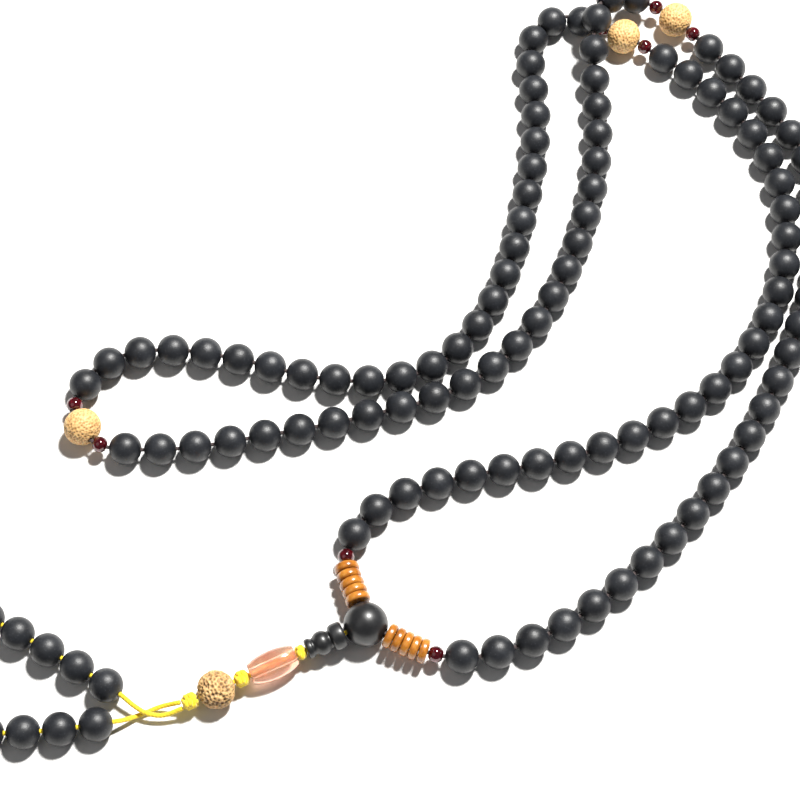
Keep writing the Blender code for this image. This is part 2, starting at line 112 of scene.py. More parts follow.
# Detail of the visible pieces
SEED_SIDES = 120
MARKER_PITS = {"count": 420, "size": 0.52 * MM, "depth": 0.26 * MM}
PENDANT_PITS = {"count": 270, "size": 0.74 * MM, "depth": 0.62 * MM}
DISC_SWELL = 0.10 * MM
GURU_ROWS = 110
GURU_SIDES = 180
MOUTH_FLARE = 0.75 * MM
MOUTH_SOFTNESS = 0.60 * MM
MOUTH_DEPTH = 1.5 * MM
CORD_PLIES = 3
CORD_PITCH = 2.6 * MM
CORD_SIDES = 18
MAIN_CORD_PITCH = 2.2 * MM
CORD_OVERLAP = 1.6 * MM
BALL_KNOT_GROWTH = (0.4 * MM, 0.6 * MM)
FIBRE_SCALE = 3680.0

# Camera and floor
CAMERA_PLACE = (0.0080, -0.1748, 0.4638)
CAMERA_LOOKS_DOWN = 63
LENS = 93.8
FLOOR_SIZE = 3.0
FLOOR_DROP = 0.05 * MM

# Routes at the size for which they were laid out: x and y in mm, and the share of CROSSING_RISE.
ARM_A_ROUTE = [
    (0.0, 0.0, 0.0),
    (-2.2, 7.0, 0.0),
    (-4.3, 13.0, 0.0),
    (-4.9, 18.8, 0.0),
    (-2.6, 24.6, 0.0),
    (2.4, 29.8, 0.0),
    (8.8, 33.6, 0.0),
    (23.8, 38.2, 0.0),
    (40.0, 41.1, 0.0),
    (56.4, 45.6, 0.0),
    (72.2, 52.6, 0.0),
    (86.4, 62.8, 0.0),
    (97.0, 76.6, 0.0),
    (104.0, 92.6, 0.0),
    (106.6, 109.2, 0.0),
    (105.2, 124.8, 0.0),
    (98.6, 139.0, 0.0),
    (89.4, 150.6, 0.0),
    (80.0, 159.4, 0.0),
]
UPPER_ROUTE = [
    (70.0, 166.4, 0.0),
    (63.0, 170.0, 0.0),
    (56.0, 174.0, 0.0),
    (48.0, 174.2, 0.0),
    (43.0, 167.4, 0.0),
    (42.6, 158.0, 0.0),
    (43.6, 146.0, 0.0),
    (42.8, 130.0, 0.0),
    (39.6, 113.0, 0.0),
    (35.2, 96.0, 0.0),
    (27.6, 79.8, 0.0),
    (17.4, 68.6, 0.0),
    (4.0, 64.0, 0.0),
    (-12.4, 64.8, 0.0),
    (-29.0, 69.2, 0.0),
    (-45.4, 72.4, 0.0),
    (-59.4, 71.4, 0.0),
    (-68.4, 65.2, 0.0),
]
LOWER_ROUTE = [
    (-71.6, 55.6, 0.0),
    (-67.8, 48.0, 0.0),
    (-59.6, 45.4, 0.0),
    (-44.4, 45.6, 0.0),
    (-28.0, 48.4, 0.0),
    (-11.6, 51.6, 0.0),
    (4.4, 55.6, 0.0),
    (19.4, 60.4, 0.0),
    (33.0, 69.4, 0.0),
    (44.2, 83.8, 0.0),
    (52.2, 101.0, 0.0),
    (57.6, 120.0, 0.0),
    (59.6, 136.0, 0.0),
    (59.6, 149.0, 0.0),
    (59.4, 155.4, 0.07),
    (59.3, 163.0, 0.556),
    (60.0, 170.8, 1.0),
    (64.2, 177.8, 0.833),
    (71.0, 179.0, 0.389),
]
ARM_B_ROUTE = [
    (76.8, 177.0, 0.083),
    (82.2, 173.0, 0.0),
    (87.4, 167.4, 0.0),
    (95.4, 158.0, 0.0),
    (105.4, 144.2, 0.0),
    (113.2, 129.6, 0.0),
    (115.6, 112.8, 0.0),
    (113.2, 95.0, 0.0),
    (106.6, 77.2, 0.0),
    (99.0, 60.6, 0.0),
    (91.0, 46.4, 0.0),
    (81.4, 33.0, 0.0),
    (70.6, 20.6, 0.0),
    (58.6, 9.4, 0.0),
    (45.2, -0.4, 0.0),
    (31.0, -6.4, 0.0),
    (22.4, -7.8, 0.0),
    (16.0, -7.0, 0.0),
    (9.2, -4.6, 0.0),
    (0.0, 0.0, 0.0),
]
# The pendant's route in mm: x, y and z.
PENDANT_ROUTE = [
    (0.0, 0.0, 5.25),
    (-9.1, -4.05, 5.0),
    (-15.0, -6.7, 4.5),
    (-22.0, -9.9, 4.0),
    (-29.0, -13.2, 4.2),
    (-34.5, -15.8, 4.6),
    (-42.4, -19.4, 3.9),
]
# The strands' routes past the last plait's end: x and y from it in mm, and z in bead radii.
UPPER_STRAND_ROUTE = [
    (-4.2, -2.0, 0.625),
    (-8.0, -1.6, 0.675),
    (-11.0, 0.0, 0.825),
    (-13.6, 2.0, 0.975),
    (-16.6, 4.2, 1.0),
    (-30.9, 12.8, 1.0),
    (-45.4, 20.8, 1.0),
    (-60.6, 27.6, 1.0),
    (-77.0, 32.0, 1.0),
    (-95.6, 34.0, 1.0),
]
LOWER_STRAND_ROUTE = [
    (-5.0, 0.3, 0.475),
    (-9.2, -1.1, 0.225),
    (-12.8, -2.9, 0.55),
    (-15.8, -4.0, 0.95),
    (-19.6, -4.8, 1.0),
    (-36.2, -6.6, 1.0),
    (-52.4, -6.4, 1.0),
    (-68.4, -3.4, 1.0),
    (-84.0, 1.8, 1.0),
    (-99.0, 8.0, 1.0),
]


def smooth_curve(points):
    """A Catmull-Rom curve through the points, as a dense polyline."""
    ends = [2 * points[0] - points[1], *points, 2 * points[-1] - points[-2]]
    line = []
    for a, b, c, d in zip(ends, ends[1:], ends[2:], ends[3:]):
        for step in range(CURVE_STEPS):
            t = step / CURVE_STEPS
            line.append(
                0.5 * (2 * b + (c - a) * t + (2 * a - 5 * b + 4 * c - d) * t**2)
                + 0.5 * (3 * b - a - 3 * c + d) * t**3
            )
    line.append(points[-1].copy())
    return line


def walk(line, lengths):
    """Points on the line whose straight distances are the lengths, and how far the walk overran."""
    found = [line[0].copy()]
    at = 0
    for number, length in enumerate(lengths):
        here = found[-1]
        while at < len(line) - 1 and (line[at] - here).length < length:
            at += 1
        if (line[at] - here).length < length:
            return found, sum(lengths[number:])
        low, high = line[at - 1], line[at]
        for _ in range(30):
            middle = (low + high) / 2
            if (middle - here).length < length:
                low = middle
            else:
                high = middle
        found.append(high.copy())
    left = sum((b - a).length for a, b in zip(line[at:], line[at + 1 :]))
    return found, -left - (line[at] - found[-1]).length


def closed_string(route, lengths):
    """The route's plan, scaled about the guru bead until the lengths fill it exactly."""
    low, high = 0.4, 2.5
    found = []
    for _ in range(30):
        scale = (low + high) / 2
        plan = scale * MM
        points = [Vector((x * plan, y * plan, rise * CROSSING_RISE)) for x, y, rise in route]
        reached, over = walk(smooth_curve(points), lengths)
        if over > 0:
            low = scale
        else:
            high = scale
            found = reached
    return found


class Place:
    """Where a strung piece lies: its centre and the frame along its bore."""

    def __init__(self, start, end):
        self.start, self.end = start, end
        self.centre = (start + end) / 2
        self.along = (end - start).normalized()
        self.side = Vector((0, 0, 1)).cross(self.along).normalized()
        self.up = self.along.cross(self.side)


LENGTHS = {
    "guru": GURU_D,
    "bead": BEAD_D,
    "loose_bead": BEAD_D,
    "disc": DISC_LENGTH,
    "garnet": GARNET_LENGTH,
    "marker": MARKER_LENGTH,
}


def string_kinds():
    """Every piece on the closed string, in order from the guru bead and back to it."""
    discs = ["disc"] * DISCS_PER_ARM
    marker = ["garnet", "marker", "garnet"]
    quarters = {
        name: ["loose_bead" if name in LOOSE_QUARTERS else "bead"] * sum(runs)
        for name, runs in QUARTER_RUNS.items()
    }
    return (
        ["guru", *discs, "garnet", *quarters["arm_a"], *marker, *quarters["upper"], *marker]
        + [*quarters["lower"], *marker, *quarters["arm_b"], "garnet", *discs, "guru"]
    )


def gap_between(first, second, bend):
    """The gap between two pieces, wide enough for the cord's bend between them."""
    if "disc" in (first, second):
        least = DISC_D * DISC_FACE * math.tan(bend / 2) + BEND_ROOM
        return max(least, DISC_GAP if first == second else SMALL_GAP)
    if "garnet" in (first, second):
        return max(GARNET_FACE_D * math.tan(bend / 2) + BEND_ROOM, GARNET_GAP)
    size = (LENGTHS[first] + LENGTHS[second]) / 2
    least = LOOSE_GAP if first == "loose_bead" else BEAD_GAP
    return max((size + BEND_ROOM) / math.cos(bend / 2) - size, least)


def gap_heights(kinds, points):
    """The height of the cord at each gap, so that every piece lies on the surface."""
    resting = {"guru": GURU_D / 2, "marker": MARKER_D / 2}
    resting["bead"] = resting["loose_bead"] = BEAD_D / 2
    known = {}
    for number, pair in enumerate(zip(kinds, kinds[1:])):
        heights = [resting[kind] for kind in pair if kind in resting]
        if heights:
            known[number] = max(heights)
    found = []
    for number in range(len(kinds) - 1):
        before = max(k for k in known if k <= number)
        after = min(k for k in known if k >= number)
        share = (number - before) / max(1, after - before)
        found.append(known[before] + (known[after] - known[before]) * share)
    return [Vector((p.x, p.y, p.z + height)) for p, height in zip(points, found)]


def string_places():
    """The place of each piece between the guru bead's two sides, from gap middle to gap middle."""
    kinds = string_kinds()
    route = ARM_A_ROUTE + UPPER_ROUTE + LOWER_ROUTE + ARM_B_ROUTE
    bends = [0.0] * (len(kinds) - 1)
    for _ in range(BEND_ROUNDS):
        gaps = [gap_between(a, b, bend) for a, b, bend in zip(kinds, kinds[1:], bends)]
        spans = [
            LENGTHS[kind] + (before + after) / 2
            for kind, before, after in zip(kinds[1:-1], gaps, gaps[1:])
        ]
        ends = [GURU_D / 2 + gaps[0] / 2, GURU_D / 2 + gaps[-1] / 2]
        points = closed_string(route, [ends[0], *spans, ends[1]])
        points = gap_heights(kinds, points[1 : len(kinds)])
        places = [Place(a, b) for a, b in zip(points, points[1:])]
        bends = [a.along.angle(b.along) for a, b in zip(places, places[1:])]
        bends = [0.0, *bends, 0.0]
    return kinds[1:-1], places


def extended(line):
    """The line, carried straight on past its end."""
    onward = (line[-1] - line[-2]).normalized()
    return line + [line[-1] + onward * k * MM for k in range(1, 40)]


def distance_along(line, count):
    return sum((b - a).length for a, b in zip(line[:count], line[1 : count + 1]))


KINDS, PLACES = string_places()
GAP_POINTS = [place.start for place in PLACES] + [PLACES[-1].end]
GURU_CENTRE = Vector((0, 0, GURU_D / 2))
BODY_OF_NODE = {
    node: body for body, nodes in frame["record"]["behaviour"]["bodies"].items() for node in nodes
}


# --- nodes and materials ---


class Nodes:
    """A small helper to write a material's node tree."""

    def __init__(self, name):
        self.material = bpy.data.materials.new(name)
        self.material.use_nodes = True
        self.tree = self.material.node_tree
        self.shader = self.tree.nodes["Principled BSDF"]
        self.where = self.add("ShaderNodeTexCoord").outputs["Object"]

    def add(self, kind, **settings):
        node = self.tree.nodes.new(kind)
        for key, value in settings.items():
            setattr(node, key, value)
        return node

    def link(self, source, target):
        self.tree.links.new(source, target)

    def set(self, **values):
        for key, value in values.items():
            self.shader.inputs[key.replace("_", " ")].default_value = value

    def noise(self, scale, detail=4.0, roughness=0.55):
        node = self.add("ShaderNodeTexNoise")
        node.inputs["Scale"].default_value = scale
        node.inputs["Detail"].default_value = detail
        node.inputs["Roughness"].default_value = roughness
        self.link(self.where, node.inputs["Vector"])
        return node.outputs["Fac"]

    def cells(self, scale, feature="F1"):
        node = self.add("ShaderNodeTexVoronoi", feature=feature)
        node.inputs["Scale"].default_value = scale
        self.link(self.where, node.inputs["Vector"])
        return node.outputs["Distance"]

    def ramp(self, source, stops):
        node = self.add("ShaderNodeValToRGB")
        elements = node.color_ramp.elements
        while len(elements) < len(stops):
            elements.new(0.5)
        for element, (place, colour) in zip(elements, stops):
            element.position = place
            element.color = (*colour, 1.0) if len(colour) == 3 else colour
        self.link(source, node.inputs["Fac"])
        return node.outputs["Color"]

    def levels(self, source, low, high, from_low=0.0, from_high=1.0):
        node = self.add("ShaderNodeMapRange")
        for key, value in (
            ("From Min", from_low),
            ("From Max", from_high),
            ("To Min", low),
            ("To Max", high),
        ):
            node.inputs[key].default_value = value
        self.link(source, node.inputs["Value"])
        return node.outputs["Result"]

    def mix(self, factor, first, second, blend="MIX"):
        node = self.add("ShaderNodeMix", data_type="RGBA", blend_type=blend)
        for value, socket in ((factor, node.inputs[0]), (first, node.inputs[6]),
                              (second, node.inputs[7])):
            if isinstance(value, bpy.types.NodeSocket):
                self.link(value, socket)
            else:
                socket.default_value = value if isinstance(value, float) else (*value, 1.0)
        return node.outputs[2]

    def bump(self, height, distance, strength=1.0, before=None):
        node = self.add("ShaderNodeBump")
        node.inputs["Distance"].default_value = distance
        node.inputs["Strength"].default_value = strength
        self.link(height, node.inputs["Height"])
        if before:
            self.link(before, node.inputs["Normal"])
        return node.outputs["Normal"]

    def attribute(self, name):
        return self.add("ShaderNodeAttribute", attribute_name=name).outputs["Fac"]

    def colour(self, source):
        self.link(source, self.shader.inputs["Base Color"])

    def roughness(self, source):
        self.link(source, self.shader.inputs["Roughness"])

    def normal(self, source):
        self.link(source, self.shader.inputs["Normal"])


def stone():
    """Matte dark grey-black lava-like stone with fine grain."""
    n = Nodes("stone")
    broad = n.ramp(n.noise(140.0, 3.0), [(0.3, (0.009, 0.010, 0.0125)), (0.7, (0.023, 0.0255, 0.031))])
    grain = n.ramp(n.noise(2600.0, 3.0), [(0.35, (0.55, 0.55, 0.56)), (0.70, (1.0, 1.0, 1.0))])
    base = n.mix(0.75, broad, grain, "MULTIPLY")
    specks = n.ramp(n.cells(1500.0), [(0.10, (1.0, 1.0, 1.0)), (0.20, (0.0, 0.0, 0.0))])
    n.colour(n.mix(n.levels(specks, 0.0, 0.25), base, (0.13, 0.135, 0.15)))
    n.roughness(n.levels(n.noise(900.0), 0.34, 0.50))
    fine = n.bump(n.noise(3200.0, 4.0, 0.7), 0.00009, 0.5)
    n.normal(n.bump(n.noise(700.0, 3.0), 0.00012, 0.4, fine))
    n.set(Specular_IOR_Level=0.45)
    return n.material


def guru_stone():
    n = Nodes("guru_stone")
    n.colour(n.ramp(n.noise(260.0), [(0.3, (0.006, 0.0062, 0.007)), (0.75, (0.018, 0.0185, 0.020))]))
    n.roughness(n.levels(n.noise(800.0), 0.33, 0.46))
    n.normal(n.bump(n.noise(1900.0), 0.00005, 0.35))
    n.set(Coat_Weight=0.25, Coat_Roughness=0.25)
    return n.material


def disc_stone():
    """Glossy orange-brown agate, banded and slightly translucent."""
    n = Nodes("disc")
    base = n.ramp(
        n.noise(330.0, 5.0, 0.6),
        [(0.28, (0.20, 0.058, 0.005)), (0.50, (0.40, 0.145, 0.016)), (0.74, (0.58, 0.26, 0.044))],
    )
    n.colour(base)
    n.roughness(n.levels(n.noise(900.0), 0.20, 0.34))
    n.set(Coat_Weight=0.5, Coat_Roughness=0.08, Subsurface_Weight=0.25, Subsurface_Scale=0.0012)
    n.shader.inputs["Subsurface Radius"].default_value = (1.0, 0.35, 0.12)
    n.normal(n.bump(n.noise(1500.0), 0.00003, 0.3))
    return n.material


def garnet():
    n = Nodes("garnet")
    n.colour(n.ramp(n.noise(500.0), [(0.3, (0.045, 0.001, 0.004)), (0.7, (0.15, 0.003, 0.010))]))
    n.roughness(n.levels(n.noise(1200.0), 0.03, 0.09))
    n.set(Transmission_Weight=0.60, IOR=1.74, Coat_Weight=0.3)
    return n.material


def pitted_seed(name, light, dark, pit_shade):
    """A porous seed: its pits are in the mesh, and are also painted darker than its ridges as shade.
    """
    n = Nodes(name)
    body = n.ramp(n.noise(420.0, 6.0, 0.65), [(0.28, dark), (0.72, light)])
    fine = n.ramp(n.cells(1500.0), [(0.08, (0.45, 0.38, 0.30)), (0.34, (1.0, 1.0, 1.0))])
    speckled = n.mix(0.55, body, fine, "MULTIPLY")
    # Painted shade: the deeper a point lies in a pit, the nearer its colour goes to the dark shade
    # colour.
    n.colour(n.mix(n.levels(n.attribute("pit_shade"), 0.0, 0.92), speckled, pit_shade))
    n.roughness(n.levels(n.noise(900.0), 0.42, 0.66))
    grain = n.bump(n.cells(2100.0), 0.00010, 0.5)
    n.normal(n.bump(n.noise(1100.0, 5.0, 0.7), 0.00016, 0.6, grain))
    n.set(Subsurface_Weight=0.08, Subsurface_Scale=0.0008)
    return n.material


def agate():
    n = Nodes("agate")
    n.colour(
        n.ramp(
            n.noise(240.0, 5.0, 0.6),
            [(0.28, (0.93, 0.42, 0.28)), (0.55, (0.98, 0.62, 0.44)), (0.78, (1.0, 0.80, 0.62))],
        )
    )
    n.roughness(n.levels(n.noise(700.0), 0.06, 0.16))
    n.set(Transmission_Weight=0.80, IOR=1.45, Subsurface_Weight=0.25, Subsurface_Scale=0.002,
          Coat_Weight=0.4, Coat_Roughness=0.06)
    n.shader.inputs["Subsurface Radius"].default_value = (1.0, 0.5, 0.3)
    return n.material


def fibre(name, low, high):
    """Spun cord: fine fibres over the plies that are in the mesh, with painted shade in the grooves
    between the plies.
    """
    n = Nodes(name)
    base = n.ramp(n.noise(1300.0, 4.0, 0.6), [(0.25, low), (0.72, high)])
    # Painted shade: the grooves between the plies are darkened towards 0.30 of the darker fibre
    # colour.
    n.colour(n.mix(n.levels(n.attribute("groove"), 0.0, 0.7), base, tuple(c * 0.30 for c in low)))
    n.roughness(n.levels(n.noise(1600.0), 0.62, 0.88))
    n.normal(n.bump(n.noise(FIBRE_SCALE, 5.0, 0.75), 0.00012, 0.7))
    n.set(Sheen_Weight=0.35, Sheen_Roughness=0.5)
    return n.material


MATERIALS = {
    "stone": stone(),
    "guru_stone": guru_stone(),
    "disc": disc_stone(),
    "garnet": garnet(),
    # The third colour of each seed is the painted shade in its pits and bore.
    "marker_seed": pitted_seed("marker_seed", (0.86, 0.58, 0.26), (0.66, 0.39, 0.14),
                               (0.36, 0.17, 0.05)),
    "pendant_seed": pitted_seed("pendant_seed", (0.78, 0.52, 0.23), (0.52, 0.29, 0.10),
                                (0.070, 0.028, 0.010)),
    "agate": agate(),
    "agate_core": fibre("agate_core", (0.98, 0.50, 0.01), (1.0, 0.72, 0.03)),
    "yellow_cord": fibre("yellow_cord", (0.82, 0.52, 0.004), (1.0, 0.80, 0.020)),
    "dark_cord": fibre("dark_cord", (0.022, 0.012, 0.012), (0.070, 0.045, 0.045)),
}


# --- meshes ---


class Mesh:
    """Points and faces of one piece, with one value kept for each point."""

    def __init__(self):
        self.points, self.faces, self.values = [], [], []

    def add(self, points, faces, values=None):
        first = len(self.points)
        self.points += [tuple(p) for p in points]
        self.faces += [tuple(first + i for i in f) for f in faces]
        self.values += list(values if values is not None else [0.0] * len(points))

    def piece(self, name, slot, body, nodes, attribute=None):
        mesh = bpy.data.meshes.new(name)
        mesh.from_pydata(self.points, [], self.faces)
        mesh.materials.append(MATERIALS[slot])
        mesh.shade_smooth()
        if attribute:
            layer = mesh.attributes.new(attribute, "FLOAT", "POINT")
            layer.data.foreach_set("value", [float(v) for v in self.values])
        made = bpy.data.objects.new(name, mesh)
        bpy.context.scene.collection.objects.link(made)
        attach(made, body)
        if nodes:
            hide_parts(*nodes)
        return made


def lathed(place, profile, sides, turn=0.0):
    """A closed ring of (distance along, radius) points turned about the place's bore."""
    angles = 2 * math.pi * (np.arange(sides) / sides) + turn
    around = np.cos(angles)[:, None] * np.array(place.side) + np.sin(angles)[:, None] * np.array(
        place.up
    )
    rows = [
        np.array(place.centre) + np.array(place.along) * x + around * r for x, r in profile
    ]
    count = len(profile)
    faces = []
    for k in range(count):
        a, b = k * sides, ((k + 1) % count) * sides
        faces += [(a + j, a + (j + 1) % sides, b + (j + 1) % sides, b + j) for j in range(sides)]
    return np.concatenate(rows), faces


def bored(outer, bore_r, lip):
    """A profile with a bore: the outer points, a rounded mouth at each end, and the bore's wall."""
    first, last = outer[0], outer[-1]
    inner = [
        (last[0] - 0.1 * lip, last[1] * 0.4 + (bore_r + lip * 0.4) * 0.6),
        (last[0] - 0.45 * lip, bore_r + lip * 0.25),
        (last[0] - 1.2 * lip, bore_r),
        (0.0, bore_r),
        (first[0] + 1.2 * lip, bore_r),
        (first[0] + 0.45 * lip, bore_r + lip * 0.25),
        (first[0] + 0.1 * lip, first[1] * 0.4 + (bore_r + lip * 0.4) * 0.6),
    ]
    return outer + inner


def ball(diameter, length, mouth_r, steps):
    """Outer points of a ball or barrel from mouth to mouth."""
    start = math.acos(min(0.95, mouth_r / (diameter / 2)))
    return [
        (
            length / 2 * math.sin(a) / math.sin(start),
            diameter / 2 * math.cos(a),
        )
        for a in (-start + 2 * start * k / steps for k in range(steps + 1))
    ]


def rounded(points, passes=2):
    """Corner cutting on a profile, keeping its two ends."""
    for _ in range(passes):
        cut = [points[0]]
        for (x0, r0), (x1, r1) in zip(points, points[1:]):
            cut.append((x0 * 0.75 + x1 * 0.25, r0 * 0.75 + r1 * 0.25))
            cut.append((x0 * 0.25 + x1 * 0.75, r0 * 0.25 + r1 * 0.75))
        points = [*cut, points[-1]]
    return points


def bead_run_piece(name, places, body, cord_r, seed):
    """The stone beads of one run, each turned a little differently about the cord."""
    rng = random.Random(seed)
    made = Mesh()
    outer = ball(BEAD_D, BEAD_D * 0.968, 0.95 * MM, 26)
    for place in places:
        made.add(*lathed(place, bored(outer, cord_r + 0.12 * MM, 0.28 * MM), 36,
                         rng.uniform(0, 6.28)))
    return made.piece(f"{name}_stone", "stone", body, [name])


def pits(points, centre, count, size, depth, seed):
    """How deep each point of a ball lies in the pits scattered over it, and its moved place."""
    rng = np.random.default_rng(seed)
    index = np.arange(count) + 0.5
    polar, turned_by = np.arccos(1 - 2 * index / count), math.pi * (1 + 5**0.5) * index
    directions = np.stack(
        [np.cos(turned_by) * np.sin(polar), np.sin(turned_by) * np.sin(polar), np.cos(polar)], 1
    )
    directions += rng.normal(scale=0.55 / count**0.5, size=(count, 3))
    directions /= np.linalg.norm(directions, axis=1)[:, None]
    sizes = size * rng.uniform(0.60, 1.25, count)
    offset = points - centre
    radius = np.linalg.norm(offset, axis=1)
    unit = offset / radius[:, None]
    deep = np.zeros(len(points))
    for direction, pit_size in zip(directions, sizes):
        away = np.linalg.norm(unit - direction, axis=1) * radius
        share = np.clip(1 - away / pit_size, 0, 1)
        deep = np.maximum(deep, share * share * (3 - 2 * share) * min(1.0, pit_size / size))
    moved = points - unit * (deep * depth)[:, None]
    return moved, np.clip(deep, 0, 1)


def seed_piece(name, node, place, slot, body, diameter, length, cord_r, pitting, seed):
    """A porous seed bead: a bored ball with pits and a slight swell in its mesh."""
    made = Mesh()
    outer = ball(diameter, length, 1.2 * MM, 84)
    profile = bored(outer, cord_r + 0.15 * MM, 0.4 * MM)
    points, faces = lathed(place, profile, SEED_SIDES)
    shell = len(outer) * SEED_SIDES
    moved, deep = pits(points[:shell], np.array(place.centre), seed=seed, **pitting)
    wobble = np.random.default_rng(seed + 1).uniform(-1, 1, (5, 3))
    unit = (moved - np.array(place.centre)) / (diameter / 2)
    swell = sum(np.sin(3.1 * unit @ w + 2 * k) for k, w in enumerate(wobble)) * 0.012 * MM
    moved = moved + unit * np.minimum(swell, 0.0)[:, None]
    points[:shell] = moved
    # The pit depth of each shell point, and 0.6 for the mouths and bore, mask the seed's painted
    # shade.
    values = np.concatenate([deep, np.full(len(points) - shell, 0.6)])
    made.add(points, faces, values)
    return made.piece(name, slot, body, [node], "pit_shade")


def disc_piece(name, place, body):
    """A disc bead with a full round rim."""
    half, rim = DISC_LENGTH / 2 + DISC_SWELL, DISC_D / 2
    corner = rounded(
        [
            (-half, 0.95 * MM),
            (-half, rim * 0.66),
            (-half * 0.95, rim * 0.88),
            (-half * 0.55, rim * 0.995),
            (0.0, rim * 1.01),
            (half * 0.55, rim * 0.995),
            (half * 0.95, rim * 0.88),
            (half, rim * 0.66),
            (half, 0.95 * MM),
        ],
        2,
    )
    made = Mesh()
    made.add(*lathed(place, bored(corner, MAIN_CORD_D / 2 + 0.12 * MM, 0.2 * MM), 48))
    return made.piece(f"{name}_stone", "disc", body, [name])


def garnet_piece(name, place, body):
    outer = ball(GARNET_D, GARNET_LENGTH, GARNET_FACE_D / 2 * 0.85, 20)
    made = Mesh()
    made.add(*lathed(place, bored(outer, MAIN_CORD_D / 2 + 0.05 * MM, 0.16 * MM), 32))
    return made.piece(f"{name}_gem", "garnet", body, [name])


def tower_piece(place):
    """The turned bead by the guru: drum, groove, bulb, groove and end flange."""
    half = TOWER_LENGTH / 2
    drum, bulb, flange, groove = (
        d / 2 for d in (TOWER_DRUM_D, TOWER_BULB_D, TOWER_END_D, TOWER_GROOVE_D)
    )
    shares = [
        (0.0, 1.0 * MM), (0.0, drum * 0.74), (0.02, drum * 0.90), (0.07, drum * 0.985),
        (0.16, drum * 1.01), (0.25, drum * 0.99), (0.31, drum * 0.94), (0.34, drum * 0.84),
        (0.36, groove * 1.12), (0.385, groove * 1.07), (0.41, groove * 1.12), (0.44, bulb * 0.84),
        (0.49, bulb * 0.95), (0.56, bulb * 1.01), (0.64, bulb), (0.70, bulb * 0.93),
        (0.75, bulb * 0.80), (0.785, groove * 1.03), (0.815, groove), (0.84, flange * 0.90),
        (0.865, flange * 0.98), (0.90, flange), (0.955, flange), (0.985, flange * 0.93),
        (1.0, flange * 0.80), (1.0, 1.0 * MM),
    ]
    outer = rounded([(-half + TOWER_LENGTH * s, r) for s, r in shares], 2)
    made = Mesh()
    made.add(*lathed(place, bored(outer, PENDANT_CORD_D / 2 + 0.12 * MM, 0.2 * MM), 64))
    return made.piece("stupa_turned", "guru_stone", "pendant", ["stupa_bead"])


def agate_piece(place):
    """The clear agate barrel, and the yellow cord that fills its bore and shows through it."""
    outer = ball(AGATE_D, AGATE_LENGTH, AGATE_END_D / 2, 36)
    ends = [(outer[0][0], AGATE_END_D / 2 * 0.55)] + outer + [(outer[-1][0], AGATE_END_D / 2 * 0.55)]
    made = Mesh()
    made.add(*lathed(place, bored(rounded(ends, 1), PENDANT_CORD_D / 2 + 0.40 * MM, 0.2 * MM), 56))
    made.piece("agate_stone", "agate", BODY_OF_NODE["agate_barrel"], ["agate_barrel"])
    half, core_r = AGATE_LENGTH / 2 - 0.6 * MM, PENDANT_CORD_D / 2 + 0.34 * MM
    outer = [(-half, core_r * 0.8), (-half * 0.96, core_r), (0.0, core_r * 0.97),
             (half * 0.96, core_r), (half, core_r * 0.8)]
    core = Mesh()
    core.add(*lathed(place, bored(rounded(outer, 2), PENDANT_CORD_D / 2 + 0.08 * MM, 0.1 * MM), 32))
    rod = core.piece("agate_core", "yellow_cord", "pendant", [])
    rod.data.materials[0] = MATERIALS["agate_core"]


def guru_piece(exits):
    """The round three-way bead, flat underneath, with a rounded mouth where each cord leaves."""
    radius = GURU_D / 2
    rows, sides = GURU_ROWS, GURU_SIDES
    base = math.asin(GURU_BASE_D / GURU_D)
    points, faces = [Vector((0, 0, 0))], []
    for k in range(rows + 1):
        angle = math.pi - base - (math.pi - base) * k / (rows + 1)
        ring_r, height = radius * math.sin(angle), radius + radius * math.cos(angle)
        points += [
            Vector((ring_r * math.cos(2 * math.pi * j / sides),
                    ring_r * math.sin(2 * math.pi * j / sides), height))
            for j in range(sides)
        ]
    lowest = min(p.z for p in points[1:])
    points = [points[0]] + [
        Vector((p.x, p.y, (p.z - lowest) * GURU_D / (GURU_D - lowest))) for p in points[1:]
    ]
    points.append(Vector((0, 0, GURU_D)))
    top = len(points) - 1
    for j in range(sides):
        faces.append((0, 1 + (j + 1) % sides, 1 + j))
        last = 1 + rows * sides
        faces.append((top, last + j, last + (j + 1) % sides))
    for k in range(rows):
        a, b = 1 + k * sides, 1 + (k + 1) * sides
        faces += [(a + j, a + (j + 1) % sides, b + (j + 1) % sides, b + j) for j in range(sides)]
    for number, point in enumerate(points):
        for direction, cord_r in exits:
            offset = point - GURU_CENTRE
            along = offset.dot(direction)
            away = (offset - direction * along).length
            if along > 0 and away < cord_r + MOUTH_FLARE:
                edge = min(1.0, max(0.0, (cord_r + MOUTH_FLARE - away) / MOUTH_SOFTNESS))
                point -= direction * (edge * edge * (3 - 2 * edge) * MOUTH_DEPTH)
        points[number] = point
    made = Mesh()
    made.add(points, faces)
    return made.piece("guru_round", "guru_stone", "guru_end", ["guru_bead"])


def even_path(points, step, smooth=2):
    """Points at equal steps along a polyline, with its corners eased."""
    line = np.array([tuple(p) for p in points])
    lengths = np.concatenate([[0], np.cumsum(np.linalg.norm(np.diff(line, axis=0), axis=1))])
    count = max(3, int(round(lengths[-1] / step)))
    at = np.linspace(0, lengths[-1], count + 1)
    even = np.stack([np.interp(at, lengths, line[:, k]) for k in range(3)], axis=1)
    for _ in range(smooth):
        even[1:-1] = (even[:-2] + 2 * even[1:-1] + even[2:]) / 4
    return even


